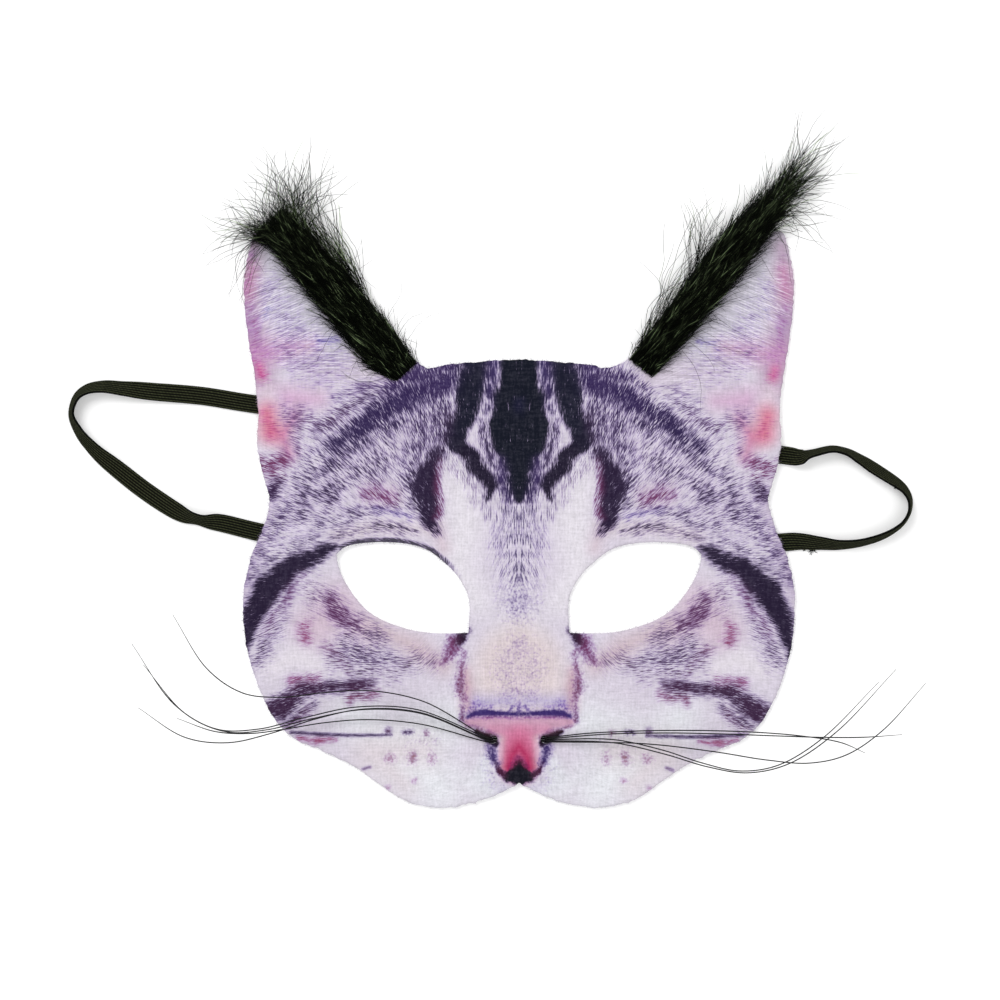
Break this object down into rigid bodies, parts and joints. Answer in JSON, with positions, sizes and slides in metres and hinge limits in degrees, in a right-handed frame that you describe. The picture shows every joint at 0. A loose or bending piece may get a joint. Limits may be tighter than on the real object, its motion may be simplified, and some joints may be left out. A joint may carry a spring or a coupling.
{
  "type": "cat mask",
  "caption": "Flat felt cat face half mask with a tabby fur print, cut eye holes, long black fur along its pointed ears, bristle whiskers and a flat elastic head strap.",
  "frame": {"origin": "on the back of the panel at the bridge of the nose, in the plane that the mask rests on", "axes": "+X across the face to the right as seen from the front, +Y up the face towards the ears, +Z out of the front of the face"},
  "size_m": [0.2826, 0.2203, 0.0225],
  "materials": {
    "printed_felt": "fine woven nap printed with tabby fur in lavender, purple and charcoal",
    "black_fur": "long loose pile",
    "black_nylon": "smooth drawn bristle",
    "black_elastic": "flat braid with lengthwise ribs"
  },
  "bodies": {
    "root": {"face_panel": "printed_felt", "ear_fur_left": "black_fur", "ear_fur_right": "black_fur", "whisker_1": "black_nylon", "whisker_2": "black_nylon", "whisker_3": "black_nylon", "whisker_4": "black_nylon", "whisker_5": "black_nylon", "head_strap": "black_elastic"}
  },
  "joints": []
}
